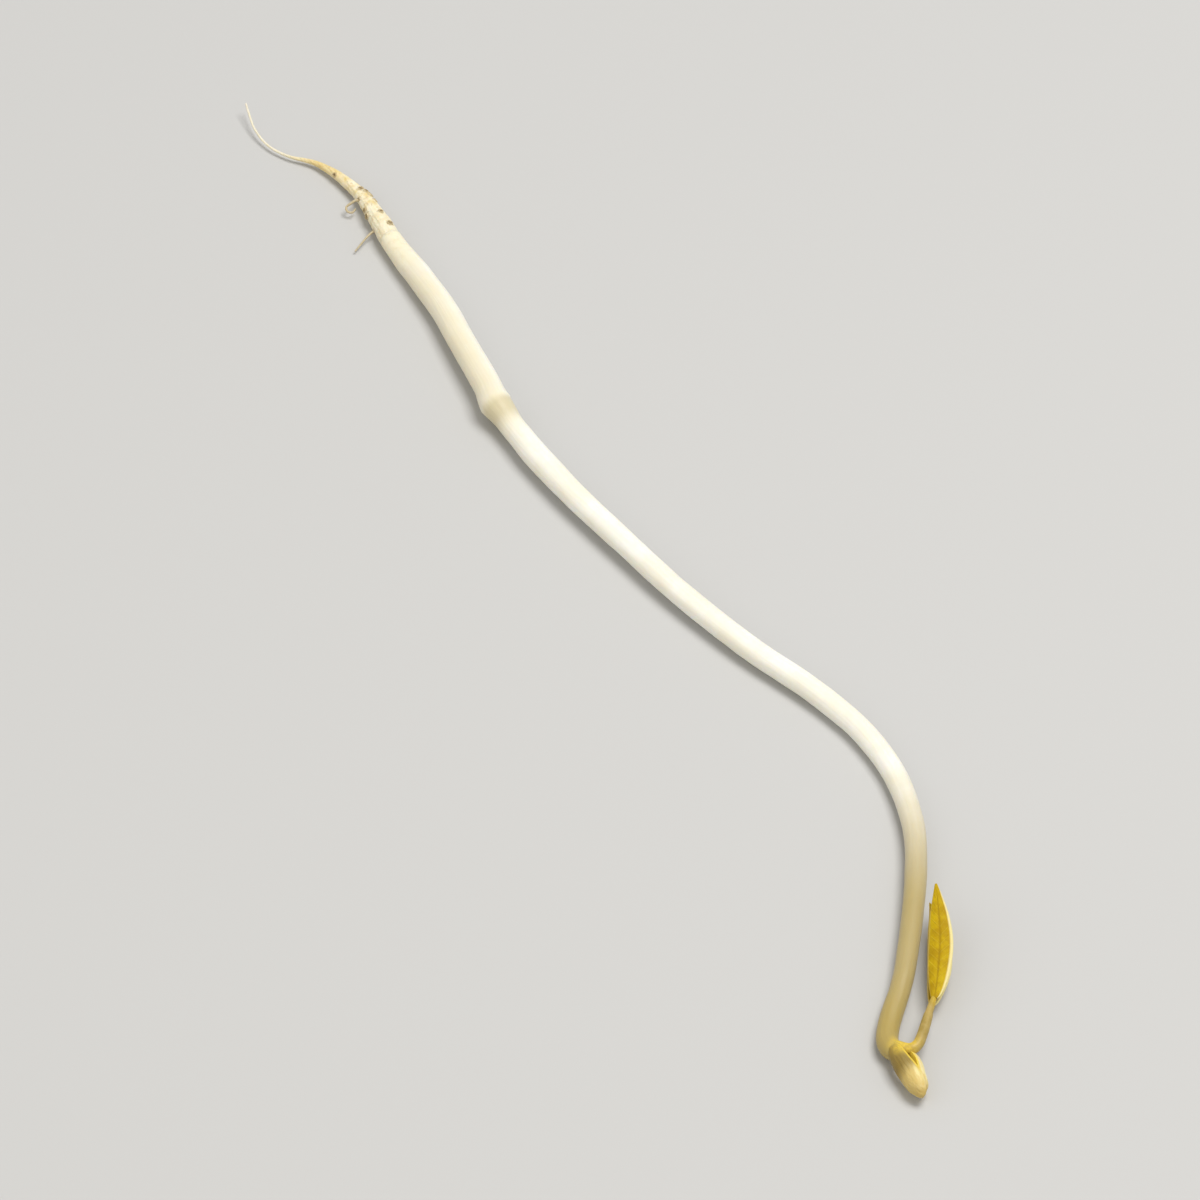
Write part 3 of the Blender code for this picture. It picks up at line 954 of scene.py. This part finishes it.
def make_seed_leaf_skin():
    """Cream with folds, yellow inside and brown freckles; brown at the left one's foot, ochre on
    its outer side and at the tips, partly painted shade.
    """
    material, tree, shader = start_material(
        "seed leaf skin",
        Subsurface_Weight=0.2,
        Subsurface_Radius=(1.0, 0.7, 0.3),
        Subsurface_Scale=0.8 * MM,
        Specular_IOR_Level=0.4,
    )
    place = straight_place(tree)
    along, across, _ = split(tree, place)
    cream, straw, brown_and_shade = (0.86, 0.74, 0.36, 1), (0.75, 0.58, 0.21, 1), (0.21, 0.135, 0.015, 1)
    yellow, ochre = (0.84, 0.62, 0.06, 1), (0.56, 0.40, 0.11, 1)
    folds = streaks(tree, place, 2.4, 2.2, 0.55)
    colour = blend(tree, folds, cream, straw)
    # Painted shade along the left lobe's outer side, mixed with its own ochre.
    colour = blend(tree, fade(tree, across, -0.3, -1.05), colour, ochre, most=0.7)
    # The left lobe's brown foot: partly its own tone, partly painted shade.
    left_one = fade(tree, across, 0.1, -0.1)
    foot_and_shade = reckon(tree, "MULTIPLY", fade(tree, along, *FOOT_AND_SHADE_FADE), left_one)
    colour = blend(tree, foot_and_shade, colour, brown_and_shade, most=0.85)
    # The darker tips: partly their own tone, partly painted shade.
    colour = blend(tree, fade(tree, along, *TIP_AND_SHADE_FADE), colour, ochre, most=0.8)
    inner = fade(tree, reckon(tree, "ABSOLUTE", across), 0.28, 0.08)
    inner = reckon(tree, "MULTIPLY", inner, fade(tree, along, 4.0, 2.6))
    colour = blend(tree, inner, colour, yellow, most=0.9)
    colour = head_glow(tree, place_in_millimetres(tree), colour)
    colour = blend(tree, blotches(tree, place, 0.35, 0.62, 0.75), colour, brown_and_shade, most=0.25)
    relief = finish_skin(tree, shader, colour, folds, (0.42, 0.58), folds, 0.6, 0.1)
    relief.invert = True
    return material


SEED_LEAF_SKIN = make_seed_leaf_skin()
settle(seed_leaf_right, "cotyledon_right", SEED_LEAF_SKIN)
settle(seed_leaf_left, "cotyledon_left", SEED_LEAF_SKIN)

# %% [markdown]
# ## The shoot
#
# Above the seed leaves a thin shoot, the epicotyl, turns back along the stem in a hook. It forks
# into two short leaf stalks with a tiny bud between them. Shoot, stalks and bud are grown apart
# and melted into one body, so that the fork has soft corners. Its foot is sunk in the stem's head.

# %% The shoot's routes
SHOOT_ROUTE = (
    (69.60, -7.80, 1.42, 1.56),
    (70.10, -7.50, 1.62, 1.46),
    (70.55, -7.14, 1.82, 1.30),
    (70.78, -6.66, 1.98, 1.16),
    (70.55, -5.95, 2.10, 1.07),
    (69.80, -5.18, 2.18, 1.03),
    (68.85, -4.36, 2.20, 1.00),
    (67.91, -3.57, 2.22, 0.92),
)
NEAR_STALK = (
    (68.50, -4.06, 2.22, 0.84),
    (67.40, -3.14, 2.25, 0.76),
    (66.70, -2.50, 2.30, 0.66),
    (65.90, -1.80, 2.36, 0.44),
)
FAR_STALK = (
    (68.50, -4.06, 2.08, 0.80),
    (67.40, -3.20, 1.80, 0.72),
    (66.45, -2.50, 1.52, 0.64),
    (65.80, -2.00, 1.42, 0.48),
)
BUD_ROUTE = (
    (68.20, -3.80, 2.10, 0.50),
    (67.75, -3.42, 2.04, 0.60),
    (67.25, -2.98, 2.00, 0.34),
)

# %% Grow them, join them and melt them together
shoot = grow_along("shoot", SHOOT_ROUTE, 0.3, 16)
near_stalk = grow_along("near stalk", NEAR_STALK, 0.3, 12)
far_stalk = grow_along("far stalk", FAR_STALK, 0.3, 12)
bud = grow_along("bud", BUD_ROUTE, 0.2, 10)
melt_together(shoot, near_stalk, far_stalk, bud, smoothing=6)


# %% The shoot's material: pale olive, yellower towards the leaves
def make_shoot_skin():
    """Olive mottled with straw, and yellow on the stalks."""
    material, tree, shader = start_material(
        "shoot skin",
        Subsurface_Weight=0.25,
        Subsurface_Radius=(1.0, 0.75, 0.3),
        Subsurface_Scale=0.8 * MM,
        Specular_IOR_Level=0.45,
    )
    place = place_in_millimetres(tree)
    _, y, _ = split(tree, place)
    olive, straw, yellow = (0.34, 0.24, 0.05, 1), (0.46, 0.34, 0.105, 1), (0.56, 0.38, 0.02, 1)
    patches = blotches(tree, place, 1.4, 0.3, 0.7)
    colour = blend(tree, patches, olive, straw)
    colour = blend(tree, fade(tree, y, -3.2, -2.2), colour, yellow, most=0.8)
    colour = head_glow(tree, place, colour)
    finish_skin(tree, shader, colour, patches, (0.38, 0.50), patches, 0.4, 0.06)
    return material


SHOOT_SKIN = make_shoot_skin()
settle(shoot, "epicotyl", SHOOT_SKIN)

# %% [markdown]
# ## The first leaves
#
# The two first true leaves are narrow yellow blades, one arched over the other as in the bud.
# A blade starts as a flat grid. Its rows are pressed into a shallow arch with a groove at the
# midrib, its columns are narrowed to the outline, Solidify gives it its thickness, and the curve
# of its spine bends it into place. The grid's own UV map says where the veins run.

# %% The blades' measures
NEAR_SPINE = ((66.45, -2.15, 2.50), (61.1, 1.15, 3.15), (54.6, 4.1, 3.80))
FAR_SPINE = ((66.35, -2.30, 1.42), (61.1, 1.20, 1.62), (55.5, 3.0, 2.60))
LEAF_WIDTH = 2.35
LEAF_BASE_WIDTH = 0.5
LEAF_TIP_WIDTH = 0.05
LEAF_TILT = math.radians(-10)
LEAF_FOLD = 0.35
LEAF_SKEW = 0.85
LEAF_FULLNESS = 0.8
GROOVE_DEPTH = 0.10
GROOVE_WIDTH = 0.16
BLADE_THICKNESS = 0.26
ALONG, ACROSS = 56, 16


def leaf_width(share):
    """Width of a lance-shaped blade at a share of its length from the base."""
    swell = math.sin(math.pi * share**LEAF_SKEW) ** LEAF_FULLNESS
    even = LEAF_BASE_WIDTH + (LEAF_TIP_WIDTH - LEAF_BASE_WIDTH) * share
    drawn_out = 1 - 0.3 * max(0, (share - 0.75) / 0.25) ** 1.5
    return (even + (LEAF_WIDTH - even) * swell) * drawn_out


def spine_route(spine, pieces=40):
    """Points on the curve that bends evenly through a spine's three points."""
    base, middle, tip = (Vector(point) for point in spine)
    pull = middle * 2 - (base + tip) / 2
    shares = [number / pieces for number in range(pieces + 1)]
    return [(*(base * (1 - t) ** 2 + pull * 2 * t * (1 - t) + tip * t**2), 1.0) for t in shares]


# %% Shape one blade
def make_leaf(name, spine, arch, ripple, seed):
    """One blade: arch is how far its edges drop, and ripple how far it waves, in millimetres."""
    route = spine_route(spine)
    length = straighten(route, 10)[-1][0]
    deselect()
    bpy.ops.mesh.primitive_grid_add(x_subdivisions=ALONG, y_subdivisions=ACROSS, size=1)
    leaf = bpy.context.object
    leaf.name = name
    bpy.ops.object.mode_set(mode="EDIT")
    for row in range(ACROSS + 1):
        side = row / ACROSS * 2 - 1
        drop = arch * (LEAF_FOLD * abs(side) + (1 - LEAF_FOLD) * side**2)
        groove = GROOVE_DEPTH * math.exp(-((side / GROOVE_WIDTH) ** 2))
        pick(lambda co: abs(co.y - side / 2) < 0.5 / ACROSS and abs(co.z) < 1e-6)
        bpy.ops.transform.translate(value=(0, 0, -drop - groove + 1e-4))
    chance = random.Random(seed)
    waves = [chance.uniform(0, math.tau) for _ in range(3)]
    for column in range(ALONG + 1):
        share = column / ALONG
        here = share - 0.5
        width = leaf_width(share)
        pick(lambda co: abs(co.x - here) < 0.4 / ALONG)
        bpy.ops.transform.resize(value=(1, width, width / LEAF_WIDTH), center_override=(here, 0, 0))
        lift = ripple * math.sin(share * 9 + waves[0]) * math.sin(math.pi * share)
        bpy.ops.transform.translate(value=(0, lift * 0.5, lift))
    bpy.ops.object.mode_set(mode="OBJECT")
    leaf.scale = (length, 1, 1)
    leaf.location = (length / 2, 0, 0)
    bpy.ops.object.transform_apply(location=True, rotation=True, scale=True)
    leaf.rotation_euler = (LEAF_TILT, 0, 0)
    bpy.ops.object.transform_apply(location=False, rotation=True, scale=False)
    modify(leaf, "SOLIDIFY", thickness=BLADE_THICKNESS, offset=0)
    modify(leaf, "SUBSURF", levels=1, render_levels=1)
    return bend(leaf, route)


leaf_near = make_leaf("blade_near", NEAR_SPINE, 0.5, 0.06, 2)
leaf_far = make_leaf("blade_far", FAR_SPINE, -0.3, 0.05, 4)
print("blades:", len(leaf_near.data.vertices), "points each")

# %% [markdown]
# A blade is saturated yellow with a darker midrib, side veins that run forward at a slant, and a
# pale cream margin. The veins are lines in the UV map: along the blade plus a slant times the
# distance from the midrib, repeated.


# %% The leaves' material
def make_leaf_skin():
    """Yellow, with veins in the UV map and a cream margin."""
    material, tree, shader = start_material(
        "leaf skin",
        Subsurface_Weight=0.1,
        Subsurface_Radius=(1.0, 0.7, 0.1),
        Subsurface_Scale=0.4 * MM,
        Specular_IOR_Level=0.15,
    )
    place = place_in_millimetres(tree)
    along, across, _ = split(tree, put(tree, "ShaderNodeUVMap", uv_map="UVMap").outputs[0])
    # From 0 at the midrib to 1 at either margin.
    side = reckon(tree, "ABSOLUTE", reckon(tree, "MULTIPLY_ADD", across, 2.0, -1.0))
    deep, bright, cream = (0.42, 0.26, 0.002, 1), (0.56, 0.39, 0.004, 1), (0.84, 0.73, 0.34, 1)
    rib, vein = (0.33, 0.20, 0.002, 1), (0.68, 0.50, 0.04, 1)
    colour = blend(tree, blotches(tree, place, 1.6, 0.35, 0.7), deep, bright)
    slanted = reckon(tree, "MULTIPLY_ADD", along, 13.0, reckon(tree, "MULTIPLY", side, -1.6))
    veins = fade(tree, reckon(tree, "PINGPONG", slanted, 0.5), 0.10, 0.02)
    veins = reckon(tree, "MULTIPLY", veins, fade(tree, side, 0.95, 0.6))
    colour = blend(tree, veins, colour, vein, most=0.3)
    colour = blend(tree, fade(tree, side, 0.18, 0.0), colour, rib, most=0.75)
    margin = reckon(tree, "MULTIPLY", fade(tree, side, 0.80, 0.95), 0.35)
    margin = reckon(tree, "MAXIMUM", margin, fade(tree, across, 0.17, 0.09))
    colour = blend(tree, margin, colour, cream, most=0.95)
    colour = blend(tree, fade(tree, along, 0.84, 1.0), colour, bright, most=0.5)
    grain = streaks(tree, place, 2.0, 6.0, 0.5)
    height = reckon(tree, "ADD", reckon(tree, "MULTIPLY", grain, 0.4), veins)
    finish_skin(tree, shader, colour, grain, (0.50, 0.66), height, 0.5, 0.08)
    return material


LEAF_SKIN = make_leaf_skin()
settle(leaf_near, "leaf_near", LEAF_SKIN)
settle(leaf_far, "leaf_far", LEAF_SKIN)

# %% [markdown]
# ## The studio
#
# The sprout lies on a plain pale floor. A long lens looks down at it at 45 degrees. The key light
# is large and hangs almost overhead, a little to the right, as the bright upper right side of
# the stem shows. A weak warm light from the left and a pale world fill the shadows.

# %% The camera
TARGET = Vector((0.00345, -0.00614, 0))
AZIMUTH = math.radians(64.05)
ELEVATION = math.radians(45)
DISTANCE = 0.9
VIEW_WIDTH = 0.117
SENSOR_WIDTH = 36

forward = Vector(
    (
        -math.sin(AZIMUTH) * math.cos(ELEVATION),
        math.cos(AZIMUTH) * math.cos(ELEVATION),
        -math.sin(ELEVATION),
    )
)
lens = bpy.data.cameras.new("camera")
lens.sensor_width = SENSOR_WIDTH
lens.lens = SENSOR_WIDTH * DISTANCE / VIEW_WIDTH
lens.clip_start = 0.01
lens.clip_end = 10
camera = bpy.data.objects.new("camera", lens)
camera.location = TARGET - forward * DISTANCE
camera.rotation_euler = forward.to_track_quat("-Z", "Y").to_euler()
bpy.context.scene.collection.objects.link(camera)
bpy.context.scene.camera = camera
print(f"camera: lens {lens.lens:.0f} mm, {DISTANCE} m away")


# %% The floor
FLOOR_GREY = (0.54, 0.54, 0.535, 1)


def make_floor():
    """A plain pale floor, 3 m wide, which isn't part of the object."""
    deselect()
    bpy.ops.mesh.primitive_plane_add(size=3, location=(0, 0, 0))
    floor = bpy.context.object
    floor.name = "floor"
    material, tree, shader = start_material("pale floor", Roughness=0.75)
    shader.inputs["Base Color"].default_value = FLOOR_GREY
    floor.data.materials.append(material)


make_floor()

# %% The lights
to_right = Vector((math.cos(AZIMUTH), math.sin(AZIMUTH), 0))
to_back = Vector((-math.sin(AZIMUTH), math.cos(AZIMUTH), 0))


def make_light(name, right, back, up, size, power, colour):
    """A square soft light, placed from the target in the picture's own directions."""
    data = bpy.data.lights.new(name, "AREA")
    data.shape = "SQUARE"
    data.size = size
    data.energy = power
    data.color = colour
    lamp = bpy.data.objects.new(name, data)
    lamp.location = TARGET + to_right * right + to_back * back + Vector((0, 0, up))
    lamp.rotation_euler = (TARGET - lamp.location).to_track_quat("-Z", "Y").to_euler()
    bpy.context.scene.collection.objects.link(lamp)
    print(f"{name} light: {power} W, {size} m wide")


make_light("key", 0.26, 0.05, 0.83, 0.45, 6.1, (1.0, 0.985, 0.96))
make_light("fill", -0.5, -0.4, 0.4, 0.8, 1.3, (1.0, 0.94, 0.82))
world = bpy.data.worlds.new("pale room")
world.use_nodes = True
world.node_tree.nodes["Background"].inputs["Color"].default_value = (1.0, 0.99, 0.97, 1)
world.node_tree.nodes["Background"].inputs["Strength"].default_value = 0.47
bpy.context.scene.world = world
bpy.context.scene.view_settings.view_transform = "Standard"
